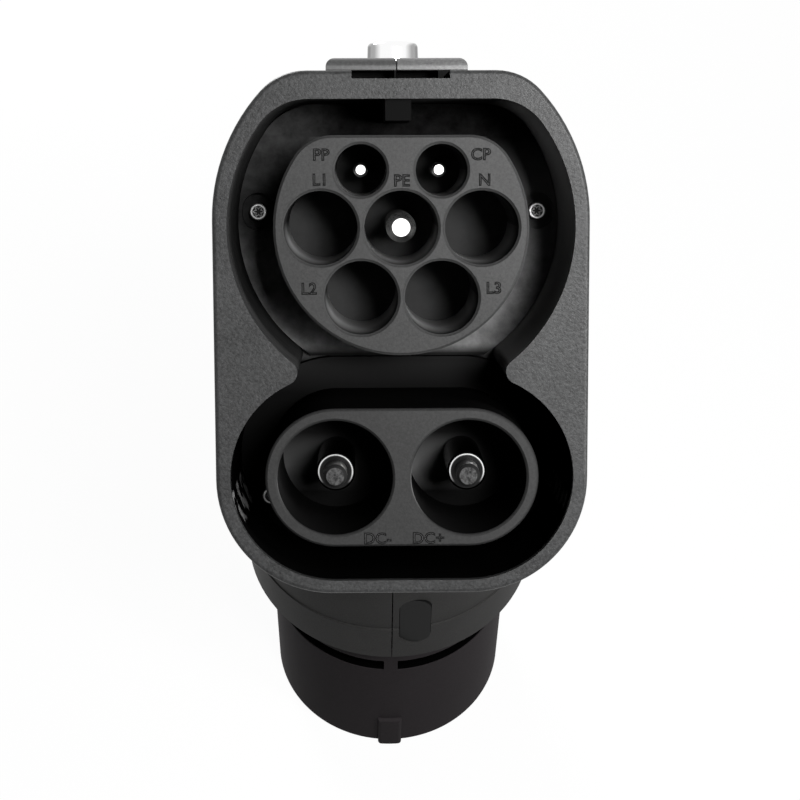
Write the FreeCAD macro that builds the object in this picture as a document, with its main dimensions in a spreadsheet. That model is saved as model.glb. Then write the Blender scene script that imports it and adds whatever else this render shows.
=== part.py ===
import FreeCAD, Part
import math
import os
import re

from FreeCAD import Placement, Rotation, Vector

# Charging adapter for electric vehicles: a combined inlet, a bent two-part body and a round plug.
# The plug's axis is Z and its rim stands on the plane z = 0. The inlet looks towards -Y and up.

# The sizes. Each is a cell of the sheet below, in millimetres or degrees.

# How far tools and joined pieces run past a face, right through, and clear of everything.
over = 1
through = 60
far = 200

# Pose of the inlet over the plug.
bend_angle = 45
inlet_reach = 53
inlet_height = 254.3

# Inlet housing.
bezel_half_width = 37.5
bezel_top = 30.8
bezel_bottom = 74
bezel_round_up = 1.5
bezel_shoulder = 12
bezel_corner = 23.5
skirt_depth = 40
rim_edge = 0.9
recess_depth = 34
recess_radius = 34.6
recess_top = 25.3
recess_shoulder = 12
pinch_round = 2.5
rear_wall = 3
window_inset = 1.5
low_window_inset = 1
spigot_inset = 4.1
spigot_wall = 2.2
spigot_length = 6
notch_width = 19.4
notch_drop = 1.6
tab_width = 5.1
tab_drop = 4.2
tab_start = 2
tab_end = 33.4
tab_across = 0.5

# Contact layout.
line_spacing = 16
lower_spacing = 8
lower_drop = 13.86
signal_spacing = 8
signal_rise = 11.35
dc_spacing = 13.5
dc_drop = 50.2

# Islands and their base plates.
island_radius = 25.4
island_top = 18.2
island_shoulder = 9
dc_island_radius = 14.1
dc_recess_radius = 21.1
well_radius = 7.35
signal_well_radius = 5.15
dc_well_radius = 11.65
well_depth = 31
base_thickness = 4
base_top = 24.8
base_gap = 0.15
face_edge = 0.5

# Inlet pins.
earth_pin_radius = 3
earth_pin_tip = 2
earth_chamfer = 1.2
signal_pin_radius = 1.5
signal_pin_tip = 13.5
signal_chamfer = 0.5
dc_pin_radius = 4
dc_pin_shoulder = 8
dc_chamfer = 0.4
dc_tip_radius = 2.4
dc_tip_start = 2
dc_tip_peg = 1.2
pin_tail = 46
dc_pin_tail = 52
pin_collar = 1.6
pin_collar_height = 2
pin_collar_gap = 0.05
nose_chamfer = 0.6
peg_spare = 0.1
pin_fit = 0.04
pin_step = 0.4
pin_full = 30
peg_depth = 5

# Inlet screws.
screw_across = 30.15
screw_rise = 2.3
low_screw_across = 28.2
low_screw_drop = 60
screw_head_radius = 1.85
screw_head_height = 2.2
screw_radius = 1.45
screw_length = 8
screw_seat = 2.4
counterbore_radius = 3.4
counterbore_straight = 1.3
low_counterbore_radius = 2.7
drive_radius = 1.1
drive_depth = 1.2
screw_fit = 0.1
thread_fit = 0.02
pilot_spare = 0.5
screw_boss_radius = 2.1

# Body shells.
shell_wall = 3
shell_inset = 0.8
shell_shoulder = 19.5
seal_gap = 1.2
seal_inset = 1.6
seam_gap = 0.3
grip_radius = 41.2
grip_flat = 0.5
turn_steps = 6
turn_softness = 3
spine_tangent = 40
shell_end = 64
cuff_radius = 41.7
cuff_top = 79
cuff_edge = 0.5

# Pad and button.
pad_width = 31
pad_top = 35.4
pad_end = 108
pad_back = 46.5
pad_root = 20
pad_edge = 2
pocket_low = 29.5
pocket_high = 32.6
pocket_depth = 10
pocket_across = 0.7
pocket_rib = 0.4
button_depth = 92
button_radius = 6.5
button_top = 41.7
button_taper = 0.4
button_edge = 1.4
button_skirt = 29
button_fit = 0.3
guide_radius = 9
guide_floor = 20.5
guide_plate = 2.5
guide_sink = 6
stem_radius = 3
stem_end = 12
stem_fit = 0.1
foot_level = 199
clip_radius = 4.6
clip_thickness = 0.9
clip_mouth_width = 3.4
clip_sink = 0.7
clip_gap = 0.1
spring_wall = 1.4
spring_seat = 3
spring_gap = 0.1
spring_wire = 0.45
spring_turns = 4
spring_coil = 4.05

# Plug.
barrel_radius = 35
barrel_wall = 3
groove_low = 44.4
groove_high = 49.6
groove_depth = 1.8
lug_width = 4
collar_low = 61
collar_radius = 38.7
neck_radius = 37.9
neck_top = 69.4
rib_low = 65.6
rib_high = 67.9
rib_inner = 36.4
rib_fit = 0.2
rim_round = 0.8
key_width = 7.2
key_proud = 1.3
key_length = 14.7
key_round = 1.1
window_width = 7.8
window_low = 9
window_high = 25

# Plug core.
core_low = 44
core_high = 50
core_fit = 0.25
power_spacing = 17.5
power_forward = 2
tower_radius = 9.3
tower_low = 5
socket_radius = 6.5
socket_bore = 4.5
socket_mouth = 6.5
socket_depth = 30
socket_tail = 61
tower_bore = 5.2
signal_offset = 15.5
signal_block = 9
block_round = 2.5
signal_across = 27
signal_low = 10
signal_pitch = 5.2
signal_first = 5.4
signal_outer = 1.7
signal_inner = 1.1
signal_tail = 56
signal_sink = 0.5
signal_depth = 14

# Latch.
pivot_back = 12
pivot_height = 58
pivot_radius = 2
pivot_length = 15
pivot_fit = 0.05
pivot_press = 0.01
hub_wall = 2.4
lever_width = 6
hook_reach = 38
lever_face = 31
lever_inner = 27
lever_low = 11.5
lever_foot = 2
hook_top = 3
hook_slope = 2.5
slot_room = 2.5
lug_inner = 3.6
lug_thickness = 3.6
lug_size = 5
toe_top = 61.7
toe_reach = 2.5
toe_sag = 3
rod_radius = 2
rod_back = 24
rod_fit = 0.12
rod_gap = 0.3
latch_wire = 0.35
latch_coil = 2.1
latch_turns = 2.5
latch_gap = 0.05
latch_room = 0.8
latch_spring_back = 20.8

# Power bars.
bar_thickness = 3
bar_width = 12
bar_across = 15.5
bar_tab = 13
bar_front = 16
bar_foot = 12
bar_knee_back = 24
bar_knee_height = 142

# Electronics.
board_front = 8
board_thickness = 1.6
board_across = 33
board_low = 86
board_high = 164
guide_rib = 1.6
card_guide_width = 12
card_grip = 2
card_fit = 0.1
card_stop_width = 8
card_stop_height = 1.6
cell_radius = 9
cell_length = 65
cell_across = 14
cell_back = 24.2
cell_low = 94.5
cell_fit = 0.3
bed_fit = 0.2
holder_plate = 4
holder_end = 2.2
holder_across = 23.4

# Service port.
port_across = 6.35
port_height = 82.2
port_width = 8.9
port_tall = 22
port_wall = 1.5
port_lip = 0.8
port_fit = 0.15
port_frame_depth = 9
plug_face_depth = 2.6
plug_neck_depth = 1.6
plug_neck_inset = 1.3
connector_inset = 7
connector_width = 8
connector_length = 7
connector_height = 3.2
connector_wall = 0.4
tongue_width = 6
tongue_length = 4.5
tongue_height = 0.7
tongue_root = 3.1
port_board_width = 14
port_board_tall = 24
port_board_thickness = 1.2

# Shell screws.
boss_radius = 4
shell_screw_radius = 1.5
shell_head_radius = 2.9
shell_head_height = 2.2
shell_head_fit = 0.3
shell_screw_length = 19.5
shell_screw_seat = 8
pilot_fit = 0.1
boss_back = 34.5
boss_back_low = 88
boss_back_high = 172
boss_front = 33.8
boss_front_low = 100.5
boss_chin = 67.5
boss_chin_depth = 56
boss_crown = 24
boss_crown_depth = 52

sizes = {name: value for name, value in list(globals().items()) if type(value) in (int, float)}
doc = FreeCAD.newDocument("ChargingAdapter")
sheet = doc.addObject("Spreadsheet::Sheet", "Sizes")
for row, (name, value) in enumerate(sizes.items(), 1):
    sheet.set(f"A{row}", name.replace("_", " "))
    sheet.set(f"B{row}", str(value))
    sheet.setAlias(f"B{row}", name)
doc.recompute()
words = re.compile(r"[a-z]\w+")


def bind(item, **links):
    """Tie properties to expressions on the sheet; a name of a size may be written by itself."""
    for name, text in links.items():
        text = words.sub(lambda word: "Sizes." + word[0] if word[0] in sizes else word[0], str(text))
        item.setExpression(name.replace("__", "."), text)


def place(item, along, up, out):
    bind(item, Placement__Base__x=along, Placement__Base__y=up, Placement__Base__z=out)


def cylinder(name, radius, height, along="0", up="0", out="0", axis="z"):
    item = doc.addObject("Part::Cylinder", name)
    bind(item, Radius=radius, Height=height)
    turn = {"z": Rotation(), "x": Rotation(Vector(0, 1, 0), 90), "y": Rotation(Vector(1, 0, 0), -90)}
    item.Placement = Placement(Vector(), turn[axis])
    place(item, along, up, out)
    return item


def cone(name, low_radius, high_radius, height, along="0", up="0", out="0"):
    item = doc.addObject("Part::Cone", name)
    bind(item, Radius1=low_radius, Radius2=high_radius, Height=height)
    place(item, along, up, out)
    return item


def box(name, length, width, height, along, up, out):
    item = doc.addObject("Part::Box", name)
    bind(item, Length=length, Width=width, Height=height)
    place(item, along, up, out)
    return item


def cut(name, base, tool):
    item = doc.addObject("Part::Cut", name)
    item.Base, item.Tool = base, tool
    return item


def fuse(name, *shapes):
    item = doc.addObject("Part::MultiFuse", name)
    item.Shapes = list(shapes)
    item.Refine = True
    return item


def common(name, *shapes):
    item = doc.addObject("Part::MultiCommon", name)
    item.Shapes = list(shapes)
    return item


def carve(name, base, *tools):
    return cut(name, base, fuse(name + "_tools", *tools) if len(tools) > 1 else tools[0])


def round_edges(name, base, radius, chosen, kind="Part::Fillet"):
    """Round or chamfer the edges of a finished shape that a test chooses."""
    doc.recompute()
    item = doc.addObject(kind, name)
    item.Base = base
    item.Edges = [(number, radius, radius) for number, edge in enumerate(base.Shape.Edges, 1)
                  if chosen(edge)]
    return item


def upright_at(points, reach=0.2):
    """Choose the straight edges along Z that pass through the given points of the XY plane."""
    def chosen(edge):
        start, end = edge.Vertexes[0].Point, edge.Vertexes[-1].Point
        upright = (start - end).Length > 1 and abs(start.x - end.x) + abs(start.y - end.y) < 0.01
        return upright and any(math.hypot(start.x - x, start.y - y) < reach for x, y in points)
    return chosen


def at_height(height, smallest=0.0, largest=1e9):
    """Choose the edges that lie flat at one height and whose length is within bounds."""
    def chosen(edge):
        box_of_edge = edge.BoundBox
        flat = abs(box_of_edge.ZMin - height) < 0.001 and abs(box_of_edge.ZMax - height) < 0.001
        return flat and smallest < edge.Length < largest
    return chosen


parts = {}


def part(node, item, placement=None):
    """Name a finished sub-part after its node and put it where it belongs in the adapter."""
    item.Label = node
    if placement is not None:
        item.Placement = placement
    parts[node] = item
    return item


# The inlet's own frame: X to the right, Y up its face, Z out of it, origin at the earth contact.
tilt = Rotation(Vector(1, 0, 0), bend_angle)
inlet = Placement(Vector(0, -inlet_reach, inlet_height), tilt)


def stadium(name, radius, across, drop, height, out):
    """A slot-shaped prism: two round ends at plus and minus the spacing, joined by a block."""
    ends = [cylinder(f"{name}_{side}", radius, height, f"{sign}{across}", f"-{drop}", out)
            for side, sign in (("left", "-"), ("right", ""))]
    middle = box(name + "_middle", f"2 * {across}", f"2 * ({radius})", height,
                 f"-{across}", f"-{drop} - ({radius})", out)
    return fuse(name, middle, *ends)


def topped_round(name, radius, top, shoulder, height, out):
    """A round prism with a flat top whose two corners are rounded."""
    wheel = cylinder(name + "_round", radius, height, "0", "0", out)
    reach = f"2 * ({radius}) + 2 * over"
    limit = box(name + "_limit", reach, f"({radius}) + over + ({top})", height,
                f"-({radius}) - over", f"-({radius}) - over", out)
    flat = common(name + "_flat", wheel, limit)
    doc.recompute()
    half = math.sqrt(flat.Shape.BoundBox.XMax ** 2 - flat.Shape.BoundBox.YMax ** 2)
    corners = [(half, flat.Shape.BoundBox.YMax), (-half, flat.Shape.BoundBox.YMax)]
    return round_edges(name, flat, shoulder, upright_at(corners))


def bezel_prism(name, inset, height, out):
    """The bezel's outline, drawn in by an inset: straight sides, an arched top and round corners."""
    half = f"(bezel_half_width - {inset})"
    arch = cylinder(name + "_arch", half, height, "0", "bezel_round_up", out)
    limit = box(name + "_limit", f"2 * {half}", f"bezel_top - {inset} - bezel_round_up", height,
                f"-{half}", "bezel_round_up", out)
    crown = common(name + "_crown", arch, limit)
    sides = box(name + "_sides", f"2 * {half}", f"bezel_round_up + bezel_bottom - {inset}", height,
                f"-{half}", f"-bezel_bottom + {inset}", out)
    blank = fuse(name + "_blank", crown, sides)
    doc.recompute()
    bounds = blank.Shape.BoundBox
    rise = bounds.YMax - bezel_round_up
    shoulder = math.sqrt(bounds.XMax ** 2 - rise ** 2)
    low = [(bounds.XMax, bounds.YMin), (bounds.XMin, bounds.YMin)]
    high = [(shoulder, bounds.YMax), (-shoulder, bounds.YMax)]
    foot = round_edges(name + "_foot", blank, bezel_corner - float(inset), upright_at(low))
    return round_edges(name, foot, bezel_shoulder - float(inset), upright_at(high))


# Inlet housing: one deep moulding with a bezel, the recess around both islands, a rear wall and
# a spigot that the shells grip. A notch in its top edge clears the vehicle-side catch.
skirt = bezel_prism("skirt", "0", "skirt_depth", "-skirt_depth")
skirt_soft = round_edges("skirt_soft", skirt, rim_edge, at_height(0.0))
spigot_out = bezel_prism("spigot_out", str(spigot_inset), "spigot_length + over",
                         "-skirt_depth - spigot_length")
spigot_in = bezel_prism("spigot_in", str(spigot_inset + spigot_wall),
                        "spigot_length + 2 * over", "-skirt_depth - spigot_length - over")
round_recess = topped_round("round_recess", "recess_radius", "recess_top", recess_shoulder,
                            "recess_depth + base_thickness", "-recess_depth - base_thickness")
low_recess = stadium("low_recess", "dc_recess_radius", "dc_spacing", "dc_drop",
                     "recess_depth + base_thickness", "-recess_depth - base_thickness")
recess_blank = fuse("recess_blank", round_recess, low_recess)
doc.recompute()
pinch_up = -dc_drop + dc_recess_radius
pinches = [edge.Vertexes[0].Point for edge in recess_blank.Shape.Edges
           if abs(edge.BoundBox.ZLength - recess_depth - base_thickness) < 0.01
           and edge.BoundBox.XLength < 0.01 and abs(edge.Vertexes[0].Point.y - pinch_up) < 2]
recess = round_edges("recess", recess_blank, pinch_round,
                     upright_at([(point.x, point.y) for point in pinches]))
notch = box("notch", "notch_width", "notch_drop + 2 * over", "skirt_depth + 2 * over",
            "-notch_width / 2", "bezel_top - notch_drop", "-skirt_depth - over")
window_depth = "rear_wall + spigot_length + base_thickness"
round_window = cylinder("round_window", "island_radius - window_inset", window_depth, "0", "0",
                        "-skirt_depth - spigot_length - over")
low_window = stadium("low_window", "(dc_island_radius - low_window_inset)", "dc_spacing", "dc_drop",
                     window_depth, "-skirt_depth - spigot_length - over")
screw_places = [("-", "screw_across", "screw_rise"), ("", "screw_across", "screw_rise"),
                ("-", "low_screw_across", "-low_screw_drop"),
                ("", "low_screw_across", "-low_screw_drop")]
screw_bosses = [cylinder(f"screw_boss_{number}", "screw_boss_radius", "spigot_length",
                         sign + across, rise, "-skirt_depth - spigot_length")
                for number, (sign, across, rise) in enumerate(screw_places)]
pilots = [cylinder(f"pilot_{number}", "screw_radius + thread_fit", "screw_length + pilot_spare",
                   sign + across, rise, "-recess_depth - screw_seat - screw_length - pilot_spare")
          for number, (sign, across, rise) in enumerate(screw_places)]
rear_plate = bezel_prism("rear_plate", str(spigot_inset), "rear_wall",
                         "-recess_depth - base_thickness - rear_wall")
spigot = cut("spigot", spigot_out, spigot_in)
shell_of_housing = cut("shell_of_housing", skirt_soft, recess)
housing_solid = fuse("housing_solid", shell_of_housing, rear_plate, spigot, *screw_bosses)
top_tab = box("top_tab", "tab_width", "tab_drop + over", "tab_end - tab_start",
              "-tab_across - tab_width / 2", "recess_top - tab_drop", "-tab_end")
housing_tabbed = fuse("housing_tabbed", housing_solid, top_tab)
part("inlet_housing", carve("housing", housing_tabbed, notch, round_window, low_window, *pilots),
     inlet)


def upright_slot(name, radius, straight, height, along, up, out):
    """The three pieces of a slot-shaped prism that stands upright on the inlet's face."""
    ends = [cylinder(f"{name}_{end}", radius, height, along, f"{up} {sign} {straight} / 2", out)
            for end, sign in (("low", "-"), ("high", "+"))]
    return ends + [box(name + "_middle", f"2 * {radius}", straight, height, f"{along} - {radius}",
                       f"{up} - {straight} / 2", out)]


def island_piece(node, island, plate, wells, holes, screws):
    """A contact island on its base plate, with wells from the front and holes for the pins."""
    blank = fuse(node + "_blank", island, plate)
    tools = []
    for name, radius, along, up in wells:
        tools.append(cylinder(f"{name}_well", radius, "well_depth + over", along, up, "-well_depth"))
    for name, radius, along, up in holes:
        tools.append(cylinder(f"{name}_hole", f"{radius} - pin_step + pin_fit", "through", along, up,
                              "-through"))
    for number, (sign, across, rise) in enumerate(screws):
        tools.append(cylinder(f"{node}_bore_{number}", "screw_radius + screw_fit", "through",
                              sign + across, rise, "-through"))
        if rise.startswith("-"):
            tools.append(cylinder(f"{node}_seat_{number}", "low_counterbore_radius",
                                  "screw_seat + over", sign + across, rise,
                                  "-recess_depth - screw_seat"))
        else:
            tools += upright_slot(f"{node}_seat_{number}", "counterbore_radius",
                                  "counterbore_straight", "screw_seat + over", sign + across, rise,
                                  "-recess_depth - screw_seat")
    drilled = carve(node + "_drilled", blank, *tools)
    softened = round_edges(node + "_soft", drilled, face_edge, at_height(0.0), "Part::Chamfer")
    return part(node, softened, inlet)


# Contact islands: each is moulded in one with the plate that floors its half of the recess.
round_island = topped_round("round_island", "island_radius", "island_top", island_shoulder,
                            "recess_depth + over", "-recess_depth - over")
round_base_full = topped_round("round_base_full", "recess_radius - base_gap",
                               "base_top",
                               recess_shoulder - base_gap, "base_thickness",
                               "-recess_depth - base_thickness")
joint_line = box("joint_line", "far", "far", "through", "-far / 2",
                 "-dc_drop + dc_recess_radius + base_gap - far", "-through")
round_base = cut("round_base", round_base_full, joint_line)
line_wells = [("line_one", "-line_spacing", "0"), ("neutral", "line_spacing", "0"),
              ("line_two", "-lower_spacing", "-lower_drop"),
              ("line_three", "lower_spacing", "-lower_drop")]
island_piece("ac_insert", round_island, round_base,
             [(name, "well_radius", along, up) for name, along, up in line_wells]
             + [("earth", "well_radius", "0", "0"),
                ("proximity", "signal_well_radius", "-signal_spacing", "signal_rise"),
                ("pilot_contact", "signal_well_radius", "signal_spacing", "signal_rise")],
             [("earth_pin", "earth_pin_radius", "0", "0"),
              ("proximity_pin", "signal_pin_radius", "-signal_spacing", "signal_rise"),
              ("pilot_pin", "signal_pin_radius", "signal_spacing", "signal_rise")],
             screw_places[:2])
dc_island = stadium("dc_island", "dc_island_radius", "dc_spacing", "dc_drop", "recess_depth + over",
                    "-recess_depth - over")
dc_base = stadium("dc_base", "(dc_recess_radius - base_gap)", "dc_spacing", "dc_drop",
                  "base_thickness", "-recess_depth - base_thickness")
island_piece("dc_insert", dc_island, dc_base,
             [("minus", "dc_well_radius", "-dc_spacing", "-dc_drop"),
              ("plus", "dc_well_radius", "dc_spacing", "-dc_drop")],
             [("minus_pin", "dc_pin_radius", "-dc_spacing", "-dc_drop"),
              ("plus_pin", "dc_pin_radius", "dc_spacing", "-dc_drop")],
             screw_places[2:])


def turned_pin(node, radius, tip, tail, chamfer, along, up, socket=None):
    """A turned contact pin: chamfered tip, full shank, narrower tail with a collar behind its plate."""
    shank = cylinder(node + "_shank", radius, f"pin_full - {tip} - {chamfer}", along, up, "-pin_full")
    stem = cylinder(node + "_stem", f"{radius} - pin_step", f"{tail} - pin_full + over", along, up,
                    f"-{tail}")
    point = cone(node + "_point", radius, f"{radius} - {chamfer}", chamfer, along, up,
                 f"-{tip} - {chamfer}")
    collar = cylinder(node + "_collar", f"{radius} + pin_collar", "pin_collar_height", along, up,
                      "-recess_depth - base_thickness - pin_collar_height - pin_collar_gap")
    pin = fuse(node + "_turned", stem, shank, point, collar)
    if socket is not None:
        pin = cut(node + "_bored", pin, socket)
    return part(node, pin, inlet)


# Inlet pins: turned and plated. The two large ones carry an insulating tip on a short peg.
turned_pin("earth_pin", "earth_pin_radius", "earth_pin_tip", "pin_tail", "earth_chamfer", "0", "0")
for node, sign in (("proximity_pin", "-"), ("pilot_pin", "")):
    turned_pin(node, "signal_pin_radius", "signal_pin_tip", "pin_tail", "signal_chamfer",
               sign + "signal_spacing", "signal_rise")
for pole, sign in (("minus", "-"), ("plus", "")):
    along = sign + "dc_spacing"
    peg_hole = cylinder(f"peg_hole_{pole}", "dc_tip_peg + pin_fit", "peg_depth + 2 * peg_spare",
                        along, "-dc_drop", "-dc_pin_shoulder - peg_depth - peg_spare")
    turned_pin("dc_pin_" + pole, "dc_pin_radius", "dc_pin_shoulder", "dc_pin_tail", "dc_chamfer",
               along, "-dc_drop", peg_hole)
    cap = cylinder(f"tip_cap_{pole}", "dc_tip_radius", "dc_pin_shoulder - dc_tip_start - nose_chamfer",
                   along, "-dc_drop", "-dc_pin_shoulder")
    nose = cone(f"tip_nose_{pole}", "dc_tip_radius", "dc_tip_radius - nose_chamfer", "nose_chamfer",
                along, "-dc_drop", "-dc_tip_start - nose_chamfer")
    peg = cylinder(f"tip_peg_{pole}", "dc_tip_peg", "peg_depth", along, "-dc_drop",
                   "-dc_pin_shoulder - peg_depth")
    part("dc_pin_tip_" + pole, fuse(f"tip_{pole}", cap, nose, peg), inlet)


def screw(name, along, up, head_out, head_radius, head_height, radius, length, axis="z"):
    """A pan-head screw with a round drive recess; its head starts at head_out and stands off it."""
    head = cylinder(name + "_head", head_radius, head_height, along, up, head_out)
    shank = cylinder(name + "_shank", radius, length, along, up, f"{head_out} - ({length})")
    drive = doc.addObject("Part::Prism", name + "_drive")
    drive.Polygon = 6
    bind(drive, Circumradius="drive_radius", Height="drive_depth + over")
    place(drive, along, up, f"{head_out} + {head_height} - drive_depth")
    return cut(name, fuse(name + "_blank", head, shank), drive)


screws = [screw(f"inlet_screw_{number}", sign + across, rise, "-recess_depth - screw_seat",
                "screw_head_radius", "screw_head_height", "screw_radius", "screw_length")
          for number, (sign, across, rise) in enumerate(screw_places)]
inlet_screws = doc.addObject("Part::Compound", "inlet_screw_set")
inlet_screws.Links = screws
part("inlet_screws", inlet_screws, inlet)

# Seal between the housing and the shells, pinched on the spigot.
seal_out = bezel_prism("seal_out", str(seal_inset), "seal_gap", "-skirt_depth - seal_gap")
seal_in = bezel_prism("seal_in", str(spigot_inset), "seal_gap + 2 * over",
                      "-skirt_depth - seal_gap - over")
part("body_seal", cut("seal_ring", seal_out, seal_in), inlet)

# Route of the body: straight behind the inlet, then turned about one centre down to the plug.
bend = math.radians(bend_angle)
middle_up = (bezel_top - bezel_bottom) / 2
axis_depth = inlet_reach / math.sin(bend) - middle_up / math.tan(bend)
turn_radius = spine_tangent / math.tan(bend / 2)
turn_start = axis_depth - spine_tangent
crossing = inlet.multVec(Vector(0, middle_up, -axis_depth))
turn_centre = Vector(0, -turn_radius, crossing.z - spine_tangent)
inlet_half = (bezel_top + bezel_bottom) / 2 - shell_inset


def outline(frame, half_tall, half_wide, top_round, low_round):
    """A closed outline with straight sides, a flat top and bottom and four rounded corners."""
    def corner(along, up, radius, start):
        ring = Part.Circle(Vector(along, up, 0), Vector(0, 0, 1), radius)
        return Part.ArcOfCircle(ring, math.radians(start), math.radians(start + 90)).toShape()

    def side(*ends):
        return Part.LineSegment(*[Vector(*end, 0) for end in ends]).toShape()

    high, low = half_tall - top_round, -half_tall + low_round
    top_across, low_across = half_wide - top_round, half_wide - low_round
    wire = Part.Wire([corner(low_across, low, low_round, -90),
                      side((half_wide, low), (half_wide, high)),
                      corner(top_across, high, top_round, 0),
                      side((top_across, half_tall), (-top_across, half_tall)),
                      corner(-top_across, high, top_round, 90),
                      side((-half_wide, high), (-half_wide, low)),
                      corner(-low_across, low, low_round, 180),
                      side((-low_across, -half_tall), (low_across, -half_tall))])
    wire.Placement = frame
    return wire


def blend(start, end, share):
    """Go from one value to another with a soft start and end."""
    return start + (end - start) * (1 - math.cos(math.pi * share)) / 2


def turn_stations(inset):
    """Outlines of the body through its turn, from the inlet's tilt to the plug's axis."""
    grip = grip_radius
    wide = bezel_half_width - shell_inset
    low = bezel_corner - shell_inset
    wires = []
    for step in range(turn_steps):
        share = step / (turn_steps - 1)
        angle = bend * (1 - share)
        top_line = (turn_radius + inlet_half) / math.cos(bend - angle)
        back_line = (turn_radius + grip) / math.cos(angle)
        nearness = [math.exp(-line / turn_softness) for line in (top_line, back_line)]
        outer = -turn_softness * math.log(sum(nearness))
        inner = blend(turn_radius - inlet_half, turn_radius - grip, share)
        reach = (outer + inner) / 2
        middle = turn_centre + Vector(0, reach * math.cos(angle), reach * math.sin(angle))
        frame = Placement(middle, Rotation(Vector(1, 0, 0), math.degrees(angle)))
        wires.append(outline(frame, (outer - inner) / 2 - inset, blend(wide, grip, share) - inset,
                             blend(shell_shoulder, grip - grip_flat, share) - inset,
                             blend(low, grip - grip_flat, share) - inset))
    return wires


def body_form(inset, spare):
    """The whole bent form drawn in by an inset: a straight stretch, the turn, a straight stretch."""
    wires = turn_stations(inset)
    first = skirt_depth + seal_gap
    rise = inlet.Rotation.multVec(Vector(0, 0, turn_start - first + spare))
    fall = Vector(0, 0, shell_end - turn_centre.z - spare)
    straights = [Part.Face(wires[0]).extrude(rise), Part.Face(wires[-1]).extrude(fall)]
    return Part.makeLoft(wires, True, False, False, 3).multiFuse(straights).removeSplitter()


def feature(name, shape):
    item = doc.addObject("Part::Feature", name)
    item.Shape = shape
    return item


outer_form = feature("outer_form", body_form(0, 0))
inner_form = feature("inner_form", body_form(shell_wall, over))


def on_inlet(item):
    """Move a tool that is drawn in the inlet's frame into the adapter's frame."""
    group = doc.addObject("Part::Compound", item.Name + "_moved")
    group.Links = [item]
    group.Placement = inlet
    return group


# Body shells: two halves of one hollow form, parted at the middle, with a raised pad that
# carries the button, a cuff that grips the plug, card guides and screw bosses.
pad_start = "skirt_depth + seal_gap"
pad_block = box("pad_block", "pad_width", "pad_top - pad_root", f"pad_end - ({pad_start})",
                "-pad_width / 2", "pad_root", "-pad_end")
pad_soft = round_edges("pad_soft", pad_block, pad_edge,
                       lambda edge: edge.BoundBox.YMin > pad_top - 0.01
                       and edge.BoundBox.YLength < 0.01)
pad_limit = box("pad_limit", "far", "far + pad_back", "2 * far", "-far / 2", "-far", "0")
pad = common("pad", on_inlet(pad_soft), pad_limit)
pocket_half = "(notch_width / 2)"
pockets = [on_inlet(box("pocket_left", f"{pocket_half} + pocket_across - seam_gap / 2 - pocket_rib",
                        "pocket_high - pocket_low", "pocket_depth + over",
                        f"-pocket_across - {pocket_half}", "pocket_low",
                        f"-({pad_start}) - pocket_depth")),
           on_inlet(box("pocket_right", f"{pocket_half} - pocket_across + seam_gap / 2",
                        "pocket_high - pocket_low", "pocket_depth + over", "-seam_gap / 2",
                        "pocket_low", f"-({pad_start}) - pocket_depth"))]
cuff = cylinder("cuff", "cuff_radius", "cuff_top - shell_end", "0", "0", "shell_end")
cuff_soft = round_edges("cuff_soft", cuff, cuff_edge, at_height(cuff_top),
                        "Part::Chamfer")
grip_rib = cut("grip_rib",
               cylinder("grip_rib_out", "grip_radius - over", "rib_high - rib_low", "0", "0",
                        "rib_low"),
               cylinder("grip_rib_in", "rib_inner", "rib_high - rib_low + 2 * over", "0", "0",
                        "rib_low - over"))
guide = on_inlet(cylinder("guide", "guide_radius",
                          "pad_top - guide_sink - (guide_floor - guide_plate)", "0",
                          "guide_floor - guide_plate", "-button_depth", "y"))
guide_bore = on_inlet(cylinder("guide_bore", "button_radius + button_fit", "through", "0",
                               "guide_floor", "-button_depth", "y"))
stem_bore = on_inlet(cylinder("stem_bore", "stem_radius + stem_fit", "through", "0", "0",
                              "-button_depth", "y"))
card_guides = [box(f"card_guide_{side}", "card_guide_width",
                   "board_thickness + 2 * card_fit + 2 * guide_rib", "board_high - board_low", along,
                   "board_front - guide_rib - card_fit", "board_low")
               for side, along in (("left", "-board_across + card_grip - card_guide_width"),
                                   ("right", "board_across - card_grip"))]
card_slot = box("card_slot", "2 * board_across + 2 * card_fit", "board_thickness + 2 * card_fit",
                "board_high - board_low", "-board_across - card_fit", "board_front - card_fit",
                "board_low")
card_stops = [box(f"card_stop_{side}", "card_stop_width", "board_thickness + 2 * card_grip",
                  "card_stop_height", along, "board_front - card_grip",
                  "board_low - card_stop_height - card_fit")
              for side, along in (("left", "-board_across + card_grip - card_stop_width"),
                                  ("right", "board_across - card_grip"))]
boss_places = [("back_low", Vector(0, boss_back, boss_back_low)),
               ("back_high", Vector(0, boss_back, boss_back_high)),
               ("front_low", Vector(0, -boss_front, boss_front_low)),
               ("chin", inlet.multVec(Vector(0, -boss_chin, -boss_chin_depth))),
               ("crown", inlet.multVec(Vector(0, boss_crown, -boss_crown_depth)))]
bosses = [cylinder(f"boss_{name}", "boss_radius", "2 * grip_radius", "-grip_radius", str(spot.y),
                   str(spot.z), "x")
          for name, spot in boss_places]
port_frame = box("port_frame", "port_width + 2 * port_wall", "port_frame_depth",
                 "port_tall + 2 * port_wall",
                 "port_across - port_width / 2 - port_wall", "-cuff_radius",
                 "port_height - port_tall / 2 - port_wall")


def obround(name, width, tall, depth, front):
    """A slot-shaped block along Y, upright, centred on the service port."""
    half = f"({width}) / 2"
    ends = [cylinder(f"{name}_{end}", half, depth, "port_across", front,
                     f"port_height {sign} (({tall}) / 2 - {half})", "y")
            for end, sign in (("low", "-"), ("high", "+"))]
    middle = box(name + "_middle", width, depth, f"({tall}) - ({width})",
                 f"port_across - {half}", front, f"port_height - (({tall}) - ({width})) / 2")
    return fuse(name, middle, *ends)


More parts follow.
